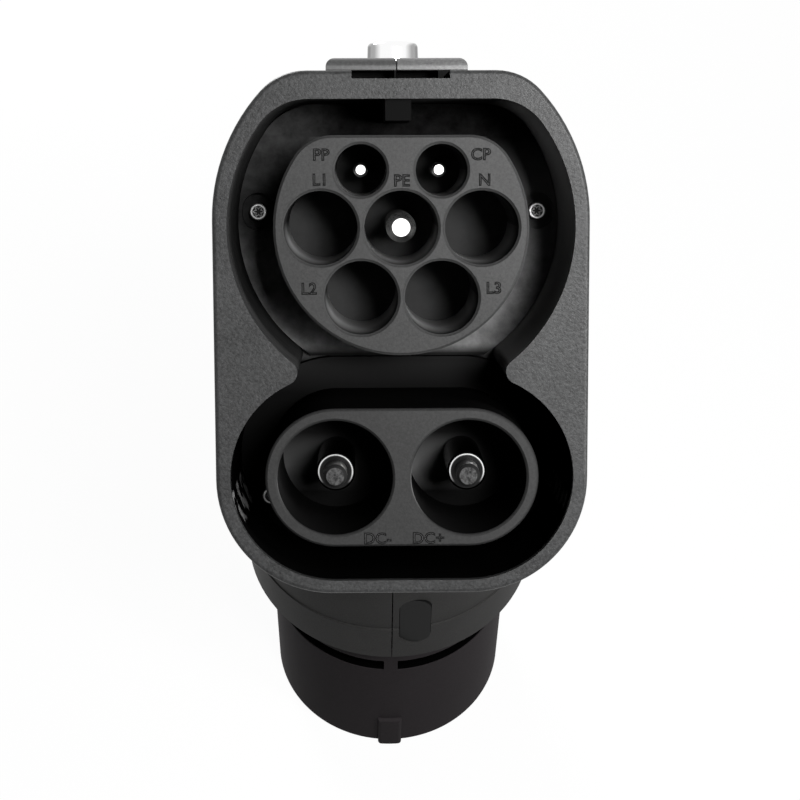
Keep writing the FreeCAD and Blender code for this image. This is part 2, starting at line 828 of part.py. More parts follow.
port_hole = obround("port_hole", "port_width", "port_tall", "through / 2", "-cuff_radius - through / 4")
inner_fittings = common("inner_fittings",
                        fuse("fittings", guide, *card_guides, *card_stops, *bosses, port_frame,
                             grip_rib),
                        outer_form)
hollow_form = cut("hollow_form", fuse("outside", outer_form, pad, cuff_soft), inner_form)
body_blank = fuse("body_blank", hollow_form, inner_fittings)
body_cut = carve("body_cut", body_blank, guide_bore, stem_bore, card_slot, port_hole, *pockets)
side_tools = []
for name, spot in boss_places:
    side_tools.append(cylinder(f"shank_hole_{name}", "shell_screw_radius + pilot_fit",
                               "shell_screw_length + pilot_spare + over",
                               "shell_screw_seat - shell_screw_length - pilot_spare",
                               str(spot.y), str(spot.z), "x"))
    side_tools.append(cylinder(f"head_hole_{name}", "shell_head_radius + shell_head_fit", "through",
                               "shell_screw_seat", str(spot.y), str(spot.z), "x"))
body = carve("body", body_cut, *side_tools)
for node, along in (("left_shell", "-far - seam_gap / 2"), ("right_shell", "seam_gap / 2")):
    half_space = box(node + "_half", "far", "2 * far", "2 * far", along, "-far", "0")
    part(node, common(node + "_cut", body, half_space))

shell_screws = doc.addObject("Part::Compound", "shell_screw_set")
shell_screws.Links = []
links = []
for name, spot in boss_places:
    one = screw(f"shell_screw_{name}", "0", "0", "0", "shell_head_radius", "shell_head_height",
                "shell_screw_radius", "shell_screw_length")
    one.Placement = Placement(Vector(shell_screw_seat, spot.y, spot.z), Rotation(Vector(0, 1, 0), 90))
    links.append(one)
shell_screws.Links = links
part("shell_screws", shell_screws)

# Release button: a polished cap on a stem. A clip under the guide's floor holds it in.
cap_height = "button_top - button_skirt"
button_cap = cone("button_cap", "button_radius", "button_radius - button_taper", cap_height)
doc.recompute()
cap_soft = round_edges("cap_soft", button_cap, button_edge,
                       at_height(button_top - button_skirt))
button_stem = cylinder("button_stem", "stem_radius", "button_skirt - stem_end + over", "0", "0",
                       "stem_end - button_skirt")
clip_low = "guide_floor - guide_plate - button_skirt - clip_thickness"
clip_groove = cut("clip_groove",
                  cylinder("clip_groove_out", "stem_radius + over", "clip_thickness + clip_gap", "0",
                           "0", clip_low + " - 1.5 * clip_gap"),
                  cylinder("clip_groove_in", "stem_radius - clip_sink", "clip_thickness + 2 * over",
                           "0", "0", clip_low + " - over"))
spring_bore = cut("spring_bore",
                  cylinder("spring_bore_out", "button_radius - spring_wall", "spring_seat + over", "0",
                           "0", "-over"),
                  cylinder("spring_bore_in", "stem_radius", "spring_seat + 3 * over", "0", "0",
                           "-2 * over"))
button_seat = inlet.multiply(Placement(Vector(0, button_skirt, -button_depth),
                                       Rotation(Vector(1, 0, 0), -90)))
foot_trim = doc.addObject("Part::Compound", "foot_trim")
foot_trim.Links = [box("foot_trim_block", "far", "far", "through", "-far / 2", "-far / 2",
                       "foot_level - through")]
foot_trim.Placement = button_seat.inverse()
button_blank = fuse("button_blank", cap_soft, button_stem)
part("release_button", carve("button", button_blank, clip_groove, spring_bore, foot_trim), button_seat)
clip_out = cylinder("clip_out", "clip_radius", "clip_thickness", "0", "0", clip_low + " - clip_gap")
clip_in = cylinder("clip_in", "stem_radius - clip_sink + clip_gap / 2", "clip_thickness + 2 * over",
                   "0", "0", clip_low + " - over")
clip_mouth = box("clip_mouth", "clip_mouth_width", "2 * clip_radius", "clip_thickness + 2 * over",
                 "-clip_mouth_width / 2", "0", clip_low + " - over")
part("button_clip", carve("clip", clip_out, clip_in, clip_mouth), button_seat)


def coil(radius, wire, pitch, turns):
    """A coil spring that stands on the plane z = 0: half rings of round wire, tilted so that each
    climbs half a pitch and runs on into the next."""
    lean = math.degrees(math.asin(pitch / 4 / radius))
    halves = []
    for number in range(round(2 * turns)):
        half = Part.makeTorus(radius, wire, Vector(), Vector(0, 0, 1), 0, 360, 180)
        half.rotate(Vector(), Vector(0, 1, 0), lean)
        half.rotate(Vector(), Vector(0, 0, 1), 180 * (number % 2))
        half.translate(Vector(0, 0, wire + pitch / 4 + pitch / 2 * number))
        halves.append(half)
    return halves[0].multiFuse(halves[1:])


button_spring_length = button_skirt + spring_seat - guide_floor - 2 * spring_gap
button_coil = coil(spring_coil, spring_wire,
                   (button_spring_length - 2 * spring_wire) / spring_turns, spring_turns)
part("button_spring", feature("button_coil", button_coil),
     button_seat.multiply(Placement(Vector(0, 0, guide_floor - button_skirt + spring_gap),
                                    Rotation())))

# Push rod: carries the button's stroke down the plug's axis to the latch lever.
rod_top = foot_level - rod_gap
rod_low = toe_top + rod_gap
rod = feature("rod", Part.makeCylinder(rod_radius, rod_top - rod_low,
                                       Vector(0, rod_back, rod_low)))
part("push_rod", rod)

# Plug barrel: a round tube with a collar, a grooved neck that the shells grip, a key rib and
# a window for the hook of the latch.
barrel_tube = round_edges("barrel_tube",
                          cylinder("barrel_tube_blank", "barrel_radius", "collar_low + over"),
                          rim_round, at_height(0.0))
collar = cylinder("collar", "collar_radius", "shell_end - collar_low - rib_fit", "0", "0", "collar_low")
neck = cylinder("neck", "neck_radius", "neck_top - collar_low", "0", "0", "collar_low")
groove_tall = "(groove_high - groove_low)"
groove = carve("groove",
               cylinder("groove_out", "barrel_radius + over", groove_tall, "0", "0", "groove_low"),
               cylinder("groove_in", "barrel_radius - groove_depth", f"{groove_tall} + 2 * over",
                        "0", "0", "groove_low - over"),
               box("barrel_lug", "lug_width", "through / 2", f"{groove_tall} + 2 * over",
                   "-lug_width / 2", "-barrel_radius - over", "groove_low - over"))
key = common("key",
             box("key_block", "key_width", "key_proud + barrel_wall", "key_length", "-key_width / 2",
                 "-barrel_radius - key_proud", "0"),
             cylinder("key_round", "barrel_radius + key_proud", "key_length + over"))
key_soft = round_edges("key_soft", key, key_round,
                       lambda edge: edge.BoundBox.YMax < 1 - barrel_radius and
                       (edge.BoundBox.ZLength > 1 or edge.BoundBox.ZMin > key_length - 0.01))
barrel_blank = fuse("barrel_blank", barrel_tube, collar, neck, key_soft)
barrel_bore = cylinder("barrel_bore", "barrel_radius - barrel_wall", "far", "0", "0", "-over")
rib_groove = cut("rib_groove",
                 cylinder("rib_groove_out", "collar_radius + over", "rib_high - rib_low + 2 * rib_fit",
                          "0", "0", "rib_low - rib_fit"),
                 cylinder("rib_groove_in", "rib_inner - rib_fit", "through", "0", "0",
                          "rib_low - over"))
window = box("window", "window_width", "through / 2", "window_high - window_low", "-window_width / 2",
             "barrel_radius - 2 * barrel_wall", "window_low")
part("plug_barrel", carve("barrel", barrel_blank, groove, barrel_bore, rib_groove, window))

# Plug core: the insulator inside the barrel. Two round towers hold the power sockets and two
# flat ones hold the signal sockets; two lugs on its back carry the latch.
core_plate = cylinder("core_plate", "barrel_radius - barrel_wall - core_fit", "core_high - core_low",
                      "0", "0", "core_low")
towers = [cylinder(f"tower_{side}", "tower_radius", "core_low - tower_low + over",
                   sign + "power_spacing", "-power_forward", "tower_low")
          for side, sign in (("left", "-"), ("right", ""))]
blocks = [box(f"signal_block_{side}", "signal_across", "signal_block", "core_low - signal_low + over",
              "-signal_across / 2", f"{sign}signal_offset - signal_block / 2", "signal_low")
          for side, sign in (("front", "-"), ("back", ""))]
doc.recompute()
soft_blocks = [round_edges(block.Name + "_soft", block, block_round,
                           lambda edge: edge.BoundBox.ZLength > signal_block) for block in blocks]
lugs = [box(f"lug_{side}", "lug_thickness", "2 * lug_size",
            "pivot_height + lug_size - core_high + over", along, "pivot_back - lug_size",
            "core_high - over")
        for side, along in (("left", "-lug_inner - lug_thickness"), ("right", "lug_inner"))]
core_blank = fuse("core_blank", core_plate, *towers, *soft_blocks, *lugs)
core_tools = [box("lever_slot", "2 * lug_inner", "through", "through", "-lug_inner",
                  "lever_inner - slot_room", "core_low - over"),
              cylinder("pivot_hole", "pivot_radius + pivot_press", "through", "-through / 2",
                       "pivot_back", "pivot_height", "x")]
signal_places = [(f"{row}_{number}", f"{sign}(signal_first + {number % 2} * signal_pitch)", offset)
                 for row, offset in (("front", "-signal_offset"), ("back", "signal_offset"))
                 for number, sign in ((0, "-"), (1, "-"), (2, ""), (3, ""))]
for side, sign in (("left", "-"), ("right", "")):
    core_tools.append(cylinder(f"power_hole_{side}", "socket_radius + pin_fit", "far",
                               sign + "power_spacing", "-power_forward", "socket_mouth"))
    core_tools.append(cylinder(f"tower_mouth_{side}", "tower_bore", "socket_mouth + 2 * over",
                               sign + "power_spacing", "-power_forward", "-over"))
for name, along, offset in signal_places:
    core_tools.append(cylinder(f"signal_hole_{name}", "signal_outer + pin_fit", "far", along, offset,
                               "0"))
part("plug_core", carve("core", core_blank, *core_tools))


def socket_tube(name, outer, inner, low, tail, depth, along, offset):
    """A turned socket contact: open at its mouth and solid towards its tail."""
    body_of_socket = cylinder(name + "_body", outer, f"{tail} - ({low})", along, offset, low)
    bore = cylinder(name + "_bore", inner, f"{depth} + over", along, offset, f"{low} - over")
    return cut(name, body_of_socket, bore)


for pole, sign in (("minus", "-"), ("plus", "")):
    part("power_socket_" + pole,
         socket_tube(f"socket_{pole}", "socket_radius", "socket_bore", "socket_mouth", "socket_tail",
                     "socket_depth", sign + "power_spacing", "-power_forward"))
signal_sockets = doc.addObject("Part::Compound", "signal_socket_set")
signal_sockets.Links = [socket_tube(f"signal_{name}", "signal_outer", "signal_inner",
                                    "signal_low + signal_sink", "signal_tail", "signal_depth", along,
                                    offset)
                        for name, along, offset in signal_places]
part("signal_sockets", signal_sockets)

# Latch: a lever on a hinge pin. The rod presses its toe, and the hook draws in through the
# window of the barrel. A short spring under the toe brings it back.
hub = cylinder("hub", "pivot_radius + hub_wall", "lever_width", "-lever_width / 2", "pivot_back",
               "pivot_height", "x")
lever_profile = [(pivot_back, toe_top),
                 (rod_back + toe_reach, toe_top),
                 (lever_face, pivot_height - over),
                 (lever_face, window_high - hook_top),
                 (hook_reach, window_high - hook_top - hook_slope),
                 (hook_reach, window_high - hook_top - 2 * hook_slope),
                 (lever_face + lever_foot, lever_low),
                 (lever_inner, lever_low),
                 (lever_inner, core_high + over),
                 (rod_back, pivot_height - toe_sag),
                 (pivot_back, pivot_height - toe_sag - over)]
lever_points = [Vector(-lever_width / 2, back, height) for back, height in lever_profile]
lever_plate = feature("lever_plate",
                      Part.Face(Part.makePolygon(lever_points + lever_points[:1])).extrude(
                          Vector(lever_width, 0, 0)))
lever_hole = cylinder("lever_hole", "pivot_radius + pivot_fit", "through", "-through / 2",
                      "pivot_back", "pivot_height", "x")
part("latch_lever", cut("lever", fuse("lever_blank", lever_plate, hub), lever_hole))
part("latch_pin", cylinder("latch_pin_solid", "pivot_radius", "pivot_length", "-pivot_length / 2",
                           "pivot_back", "pivot_height", "x"))
latch_spring_low = core_high + latch_gap
latch_spring_high = pivot_height - toe_sag - latch_room
latch_wound = coil(latch_coil, latch_wire,
                   (latch_spring_high - latch_spring_low - 2 * latch_wire) / latch_turns, latch_turns)
part("latch_spring", feature("latch_wound", latch_wound),
     Placement(Vector(0, latch_spring_back, latch_spring_low), Rotation()))

# Power bars: copper strip bent from the tails of the large pins down to the plug's sockets.
tail_top = inlet.multVec(Vector(0, -dc_drop + bar_tab / 2,
                                -dc_pin_tail - bar_thickness / 2))
tail_low = inlet.multVec(Vector(0, -dc_drop - bar_tab / 2,
                                -dc_pin_tail - bar_thickness / 2))
bar_level = socket_tail + bar_thickness / 2
bar_path = [tail_top, tail_low, Vector(0, -bar_knee_back, bar_knee_height),
            Vector(0, -bar_front, bar_level + bar_foot),
            Vector(0, -bar_front, bar_level),
            Vector(0, socket_radius - power_forward, bar_level)]


def strip(points, thickness):
    """The side view of a bent strip: both faces of a path, mitred at its corners."""
    faces = ([], [])
    for number, point in enumerate(points):
        before = (point - points[number - 1]).normalize() if number else None
        after = (points[number + 1] - point).normalize() if number + 1 < len(points) else None
        ahead = ((before or after) + (after or before)).normalize()
        across = Vector(0, -ahead.z, ahead.y)
        lean = ahead.dot(after or before)
        for side, face in ((1, faces[0]), (-1, faces[1])):
            face.append(point + across * (side * thickness / 2 / lean))
    loop = faces[0] + faces[1][::-1]
    return Part.Face(Part.makePolygon(loop + loop[:1]))


for pole, sign in (("minus", -1), ("plus", 1)):
    bar = strip(bar_path, bar_thickness).extrude(Vector(bar_width, 0, 0))
    start = sign * bar_across - bar_width / 2
    part("power_bar_" + pole, feature(f"bar_{pole}", bar), Placement(Vector(start, 0, 0), Rotation()))

# Converter board with its parts, in the card guides of the shells.
board = box("board", "2 * board_across", "board_thickness", "board_high - board_low - 2 * card_fit",
            "-board_across", "board_front", "board_low + card_fit")
part("converter_board", board)
board_items = [("transformer", 20, 11, 22, -12, 128), ("coil_block", 15, 10, 15, 14, 132),
               ("control_chip", 14, 1.6, 14, 14, 106), ("driver_chip", 9, 1.6, 7, -18, 98),
               ("input_socket", 18, 7, 7, -14, 156), ("output_socket", 14, 7, 6, -2, 88.6)]
board_parts = [box(f"item_{name}", str(wide), str(deep), str(tall), f"{across} - {wide} / 2",
                   f"board_front - {deep}", f"{level} - {tall} / 2")
               for name, wide, deep, tall, across, level in board_items]
board_parts += [cylinder(f"item_capacitor_{number}", "4", "11", str(across), "board_front - 11",
                         str(level), "y")
                for number, (across, level) in enumerate([(6, 151), (16, 154), (-21, 112)])]
board_set = doc.addObject("Part::Compound", "board_part_set")
board_set.Links = board_parts
part("board_components", board_set)

# Two battery cells in a tray on the back of the board. The tray's ends guide the push rod.
board_back = "board_front + board_thickness"
tray_low = "cell_low - cell_fit - holder_end"
tray_plate = box("tray_plate", "2 * holder_across", "holder_plate",
                 "cell_length + 2 * cell_fit + 2 * holder_end", "-holder_across", board_back, tray_low)
tray_ends = [box(f"tray_end_{end}", "2 * holder_across", "cell_back - board_front + over", "holder_end",
                 "-holder_across", board_back, level)
             for end, level in (("low", tray_low), ("high", "cell_low + cell_fit + cell_length"))]
tray_tools = [cylinder("rod_guide", "rod_radius + rod_fit", "far", "0", "rod_back", "0")]
tray_tools += [cylinder(f"cell_bed_{side}", "cell_radius + bed_fit", "cell_length + 2 * cell_fit",
                        sign + "cell_across", "cell_back", "cell_low - cell_fit")
               for side, sign in (("left", "-"), ("right", ""))]
part("battery_tray", carve("tray", fuse("tray_blank", tray_plate, *tray_ends), *tray_tools))
cells = doc.addObject("Part::Compound", "cell_set")
cells.Links = [cylinder(f"cell_{side}", "cell_radius", "cell_length", sign + "cell_across",
                        "cell_back", "cell_low")
               for side, sign in (("left", "-"), ("right", ""))]
part("battery_cells", cells)

# Service port: a small metal connector behind a rubber plug, under the inlet.
connector_front = "-cuff_radius + connector_inset"
connector = cut("connector",
                box("connector_shell", "connector_width", "connector_length", "connector_height",
                    "port_across - connector_width / 2", connector_front,
                    "port_height - connector_height / 2"),
                box("connector_mouth", "connector_width - 2 * connector_wall",
                    "connector_length - tongue_root + over", "connector_height - 2 * connector_wall",
                    "port_across - connector_width / 2 + connector_wall", connector_front + " - over",
                    "port_height - connector_height / 2 + connector_wall"))
tongue = box("tongue", "tongue_width", "tongue_length", "tongue_height",
             "port_across - tongue_width / 2", connector_front, "port_height - tongue_height / 2")
part("service_connector", fuse("service_connector_solid", connector, tongue))
part("port_board", box("port_board_solid", "port_board_width", "port_board_thickness",
                       "port_board_tall", "port_across - port_board_width / 2",
                       connector_front + " + connector_length", "port_height - port_board_tall / 2"))
plug_face = obround("plug_face", "port_width - 2 * port_fit", "port_tall - 2 * port_fit",
                    "plug_face_depth", "-cuff_radius + port_lip")
plug_neck = obround("plug_neck", "port_width - 2 * plug_neck_inset",
                    "port_tall - 2 * plug_neck_inset", "plug_neck_depth",
                    "-cuff_radius + port_lip + plug_face_depth")
part("port_plug", fuse("port_plug_solid", plug_face, plug_neck))

doc.recompute()
for item in doc.Objects:
    if "Invalid" in item.State or "Error" in item.State:
        raise RuntimeError(f"{item.Name} failed: {item.State}")
for node, item in parts.items():
    if item.Shape.isNull() or not item.Shape.isValid() or not item.Shape.Solids:
        raise RuntimeError(f"{node} is not a valid solid")

os.makedirs("parts", exist_ok=True)
for node, item in parts.items():
    item.Shape.exportStep(f"parts/{node}.step")
    bounds = item.Shape.BoundBox
    print(f"{node:20s} solids {len(item.Shape.Solids)} volume {item.Shape.Volume:9.1f} "
          f"x {bounds.XMin:.1f}..{bounds.XMax:.1f} y {bounds.YMin:.1f}..{bounds.YMax:.1f} "
          f"z {bounds.ZMin:.1f}..{bounds.ZMax:.1f}")
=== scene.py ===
import math

import bpy
from mathutils import Matrix, Vector


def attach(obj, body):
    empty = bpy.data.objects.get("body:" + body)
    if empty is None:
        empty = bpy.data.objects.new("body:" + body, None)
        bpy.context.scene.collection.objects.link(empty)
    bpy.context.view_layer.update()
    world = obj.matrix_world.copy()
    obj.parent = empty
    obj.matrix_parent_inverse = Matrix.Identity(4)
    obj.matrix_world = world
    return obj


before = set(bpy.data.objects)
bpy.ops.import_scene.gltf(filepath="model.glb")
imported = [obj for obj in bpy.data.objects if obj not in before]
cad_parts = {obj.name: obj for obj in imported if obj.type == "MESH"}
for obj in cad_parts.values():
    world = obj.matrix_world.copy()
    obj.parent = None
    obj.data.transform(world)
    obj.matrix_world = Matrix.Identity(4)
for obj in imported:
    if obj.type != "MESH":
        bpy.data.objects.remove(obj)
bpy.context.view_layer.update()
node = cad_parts
MM = 0.001


# The viewpoint. The adapter stands on its plug, the inlet leans back at 45 degrees, and the
# viewer looks almost straight into it from a little above. Places on the inlet are written as
# across, up and out from the middle of the earth contact, in millimetres.
inlet_reach = 53
inlet_height = 254.3
inlet_lean = 45
inlet = (Matrix.Translation((0, -inlet_reach * MM, inlet_height * MM))
         @ Matrix.Rotation(math.radians(inlet_lean), 4, "X"))


def on_inlet(across, up, out):
    """A place on the inlet as a vector in its own frame, in metres."""
    return Vector((across, up, out)) * MM


eye = on_inlet(-8.0, 13.85, 366.56)
eye_pitch = 7.492
eye_turn = 1.191
eye_roll = 0.18
lens_mm = 83.03

camera = bpy.data.objects.new("Viewer", bpy.data.cameras.new("Viewer"))
bpy.context.scene.collection.objects.link(camera)
camera.data.lens = lens_mm
camera.data.clip_start = 0.01
camera.data.clip_end = 20
camera.matrix_world = (inlet
                       @ Matrix.Translation(eye)
                       @ Matrix.Rotation(math.radians(-eye_turn), 4, "Y")
                       @ Matrix.Rotation(math.radians(-eye_pitch), 4, "X")
                       @ Matrix.Rotation(math.radians(-eye_roll), 4, "Z"))
bpy.context.scene.camera = camera
bpy.context.scene.view_settings.view_transform = "Standard"


# The studio: a pale floor that reads as plain white to the eye and in polished metal, yet keeps
# a soft shadow. One lamp stands high in front, a nearer one at the right with a strip beside it,
# and one behind, under a faint even sky.
class Value:
    """A number on its way through a material, written as plain arithmetic."""

    def __init__(self, finish, socket):
        self.finish = finish
        self.socket = socket

    def math(self, operation, *terms, clamp=False):
        step = self.finish.add("ShaderNodeMath", {"operation": operation, "use_clamp": clamp},
                               dict(enumerate(terms)))
        return Value(self.finish, step.outputs[0])

    def __add__(self, other):
        return self.math("ADD", self, other)

    def __radd__(self, other):
        return self.math("ADD", other, self)

    def __sub__(self, other):
        return self.math("SUBTRACT", self, other)

    def __rsub__(self, other):
        return self.math("SUBTRACT", other, self)

    def __mul__(self, other):
        return self.math("MULTIPLY", self, other)

    def __rmul__(self, other):
        return self.math("MULTIPLY", other, self)

    def __abs__(self):
        return self.math("ABSOLUTE", self)

    def root(self):
        return self.math("SQRT", self)

    def larger(self, other):
        return self.math("MAXIMUM", self, other)

    def smaller(self, other):
        return self.math("MINIMUM", self, other)

    def above(self, edge, blur=0.0):
        """1 where the value is over the edge, 0 below it, with a soft step of twice the blur."""
        if blur:
            return self.math("MULTIPLY_ADD", self, 0.5 / blur, 0.5 - edge * 0.5 / blur, clamp=True)
        return self.math("GREATER_THAN", self, edge)

    def below(self, edge, blur=0.0):
        return 1 - self.above(edge, blur)


class Finish:
    """A material under construction, with one method that adds any node."""

    def __init__(self, name, color=(0.5, 0.5, 0.5), roughness=0.5, metallic=0.0, coat=0.0,
                 coat_roughness=0.12, specular=0.5):
        self.material = bpy.data.materials.new(name)
        self.material.use_nodes = True
        self.tree = self.material.node_tree
        self.shader = self.tree.nodes["Principled BSDF"]
        self.output = self.tree.nodes["Material Output"]
        self.shader.inputs["Base Color"].default_value = (*color, 1)
        self.shader.inputs["Roughness"].default_value = roughness
        self.shader.inputs["Metallic"].default_value = metallic
        self.shader.inputs["Coat Weight"].default_value = coat
        self.shader.inputs["Coat Roughness"].default_value = coat_roughness
        self.shader.inputs["Specular IOR Level"].default_value = specular

    def add(self, kind, settings=None, inputs=None):
        made = self.tree.nodes.new(kind)
        for key, value in (settings or {}).items():
            setattr(made, key, value)
        for key, value in (inputs or {}).items():
            self.plug(made.inputs[key], value)
        return made

    def plug(self, socket, value):
        if isinstance(value, Value):
            self.tree.links.new(value.socket, socket)
        elif isinstance(value, bpy.types.NodeSocket):
            self.tree.links.new(value, socket)
        else:
            socket.default_value = value

    def set(self, name, value):
        self.plug(self.shader.inputs[name], value)

    def place(self):
        """The point being shaded, in the row's frame, in metres."""
        return self.add("ShaderNodeTexCoord").outputs["Object"]

    def facing(self):
        """The way the shaded surface faces, in the row's frame."""
        return self.parts(self.add("ShaderNodeTexCoord").outputs["Normal"])

    def parts(self, vector):
        split = self.add("ShaderNodeSeparateXYZ", inputs={0: vector})
        return [Value(self, socket) for socket in split.outputs]

    def noise(self, scale, detail=2.0, roughness=0.5, stretch=None):
        vector = self.place()
        if stretch:
            vector = self.add("ShaderNodeMapping", inputs={0: vector, 3: stretch}).outputs[0]
        made = self.add("ShaderNodeTexNoise", inputs={"Vector": vector, "Scale": scale,
                                                      "Detail": detail, "Roughness": roughness})
        return Value(self, made.outputs[0])

    def mix(self, factor, first, second):
        made = self.add("ShaderNodeMix", {"data_type": "RGBA"}, {"Factor": factor})
        self.plug(made.inputs[6], first)
        self.plug(made.inputs[7], second)
        return made.outputs[2]

    def bump(self, height, distance, strength=1.0):
        made = self.add("ShaderNodeBump", inputs={"Height": height, "Strength": strength,
                                                  "Distance": distance})
        self.set("Normal", made.outputs[0])

    def cover(self, factor, shader):
        """Show another shader where the factor is 1."""
        blend = self.add("ShaderNodeMixShader", inputs={0: factor, 1: self.shader.outputs[0],
                                                        2: shader.outputs[0]})
        self.plug(self.output.inputs["Surface"], blend.outputs[0])

    def matte_where(self, factor, color):
        """Cover the finish with a dull colour where the factor is 1, as moulded hollows look."""
        self.cover(factor, self.add("ShaderNodeBsdfPrincipled",
                                    inputs={"Base Color": color, "Roughness": 1.0,
                                            "Specular IOR Level": 0.0}))


def grey(level, warm=0.0):
    """A grey of that level, a touch warm or cool, as a node takes it."""
    return (level * (1 + warm), level, level * (1 - warm), 1.0)


floor_color = grey(0.95)
bounce_color = grey(0.1)
floor_share = 0.05
plug_hole = 31 * MM
floor_half = 6.0
floor_drop = 0.05 * MM

floor_paint = Finish("pale_floor", roughness=0.9, specular=0.0)
rays = floor_paint.add("ShaderNodeLightPath").outputs
seen = Value(floor_paint, rays["Is Camera Ray"])
seen = seen.larger(Value(floor_paint, rays["Is Glossy Ray"]))
seen = seen.larger(Value(floor_paint, rays["Is Transmission Ray"]))
beside, behind = floor_paint.parts(floor_paint.place())[:2]
under_plug = (beside * beside + behind * behind).below(plug_hole * plug_hole)
floor_paint.set("Base Color", floor_paint.mix(seen, bounce_color, floor_color))
floor_paint.cover(seen * (1 - floor_share) * (1 - under_plug),
                  floor_paint.add("ShaderNodeEmission", inputs={"Color": grey(1), "Strength": 1.0}))

floor_sheet = bpy.data.meshes.new("Floor")
floor_sheet.from_pydata([(side * floor_half, depth * floor_half, -floor_drop)
                         for side, depth in ((-1, -1), (1, -1), (1, 1), (-1, 1))],
                        [], [(0, 1, 2, 3)])
floor = bpy.data.objects.new("Floor", floor_sheet)
bpy.context.scene.collection.objects.link(floor)
floor.data.materials.append(floor_paint.material)

sky_strength = 0.03
sky = bpy.data.worlds.new("Sky")
sky.use_nodes = True
bpy.context.scene.world = sky
sky_light = sky.node_tree.nodes["Background"]
sky_light.inputs["Color"].default_value = grey(1)
sky_light.inputs["Strength"].default_value = sky_strength
sky_seen = sky.node_tree.nodes.new("ShaderNodeBackground")
sky_seen.inputs["Color"].default_value = grey(1)
sky_seen.inputs["Strength"].default_value = 1.0
sky_rays = sky.node_tree.nodes.new("ShaderNodeLightPath")
sky_either = sky.node_tree.nodes.new("ShaderNodeMath")
sky_either.operation = "MAXIMUM"
sky_any = sky.node_tree.nodes.new("ShaderNodeMath")
sky_any.operation = "MAXIMUM"
sky_blend = sky.node_tree.nodes.new("ShaderNodeMixShader")
sky.node_tree.links.new(sky_rays.outputs["Is Camera Ray"], sky_either.inputs[0])
sky.node_tree.links.new(sky_rays.outputs["Is Glossy Ray"], sky_either.inputs[1])
sky.node_tree.links.new(sky_either.outputs[0], sky_any.inputs[0])
sky.node_tree.links.new(sky_rays.outputs["Is Transmission Ray"], sky_any.inputs[1])
sky.node_tree.links.new(sky_any.outputs[0], sky_blend.inputs[0])
sky.node_tree.links.new(sky_light.outputs[0], sky_blend.inputs[1])
sky.node_tree.links.new(sky_seen.outputs[0], sky_blend.inputs[2])
sky.node_tree.links.new(sky_blend.outputs[0],
                        sky.node_tree.nodes["World Output"].inputs["Surface"])

lamp_target = inlet @ on_inlet(0, -20, 0)


def lamp(name, place, wide, tall, watts):
    """A soft lamp at a place of the inlet's frame, facing the middle of the face."""
    light = bpy.data.lights.new(name, "AREA")
    light.shape = "RECTANGLE"
    light.size = wide * MM
    light.size_y = tall * MM
    light.energy = watts
    holder = bpy.data.objects.new(name, light)
    bpy.context.scene.collection.objects.link(holder)
    start = inlet @ place
    aim = (lamp_target - start).to_track_quat("-Z", "Y")
    holder.matrix_world = Matrix.Translation(start) @ aim.to_matrix().to_4x4()


lamp("Key lamp", on_inlet(210, 170, 1000), wide=160, tall=160, watts=3.9)
lamp("Near lamp", on_inlet(130, 30, 440), wide=70, tall=70, watts=1.0)
lamp("Side strip", on_inlet(170, 0, 160), wide=50, tall=300, watts=1.0)
lamp("Back lamp", on_inlet(-350, 700, -500), wide=300, tall=300, watts=8.0)


# Inlet housing: one glass-filled nylon moulding. Its rim and outer sides have a fine moulded
# grain, and the walls and floor of the recess are smooth and dull. The recess carries painted
# light and shade: painted shadow at its top and on the tab, painted near black below the
# waist, painted light on its right wall and low on its floor, and two painted glints low at the
# sides. A notch in its top edge lies under the body's pad, and a strip there, wider than the
# notch, is painted near black as the slot's shade.
def inlet_place(finish):
    """Across, up and out on the inlet, in millimetres, from the point being shaded."""
    back = inlet.inverted()
    turned = finish.add("ShaderNodeMapping", {"vector_type": "POINT"},
                        {0: finish.place(), 1: back.to_translation() / MM, 2: back.to_euler(),
                         3: (1 / MM, 1 / MM, 1 / MM)})
    return finish.parts(turned.outputs[0])


def inlet_facing(finish):
    """How far the shaded surface faces across, up and out on the inlet."""
    side, back, top = finish.facing()
    rise = math.cos(math.radians(inlet_lean))
    run = math.sin(math.radians(inlet_lean))
    return side, back * rise + top * run, top * rise - back * run


def reach_from(across, up, at_across, at_up):
    """How far a point is from an axis that runs straight out at the given place."""
    beside = across - at_across
    over = up - at_up
    return (beside * beside + over * over).root()


def grained(finish, low, high, grain=2300.0, depth=0.06, strength=0.6):
    """Colour and bump of a fine moulded grain of that depth, between two shades."""
    fine = finish.noise(grain, detail=3.0, roughness=0.65)
    cloud = finish.noise(90.0, detail=3.0)
    finish.bump(fine, depth * MM, strength)
    return finish.mix((fine * 0.75 + cloud * 0.25).above(0.5, 0.22), low, high)


# Painted light and shade on the recess floor: painted shadow at the top, painted light at the left,
# at the lower right and low beside the island.
floor_side = 18
floor_high = 12
floor_low = -4
floor_top_shade_tones = (grey(0.005), grey(0.014))
floor_left_lit_tones = (grey(0.03), grey(0.055))
floor_low_lit_tones = (grey(0.15), grey(0.24))
floor_right_lit_tone = grey(0.15)


def floor_light_and_shade(finish, across, up):
    """The recess floor's painted light and shade, over random patches: painted shadow deepest
    at the top, painted light palest low beside the island.
    """
    patch = finish.noise(260.0, detail=4.0, roughness=0.7).above(0.5, 0.15)
    left_tone = finish.mix(patch, *floor_left_lit_tones)
    low_tone = finish.mix(patch, *floor_low_lit_tones)
    right = across.above(floor_side, 6) * up.below(floor_high, 6)
    tone = finish.mix(patch, *floor_top_shade_tones)
    tone = finish.mix(across.below(-floor_side, 6), tone, left_tone)
    tone = finish.mix(right, tone, floor_right_lit_tone)
    return finish.mix(up.below(floor_low, 4), tone, low_tone)


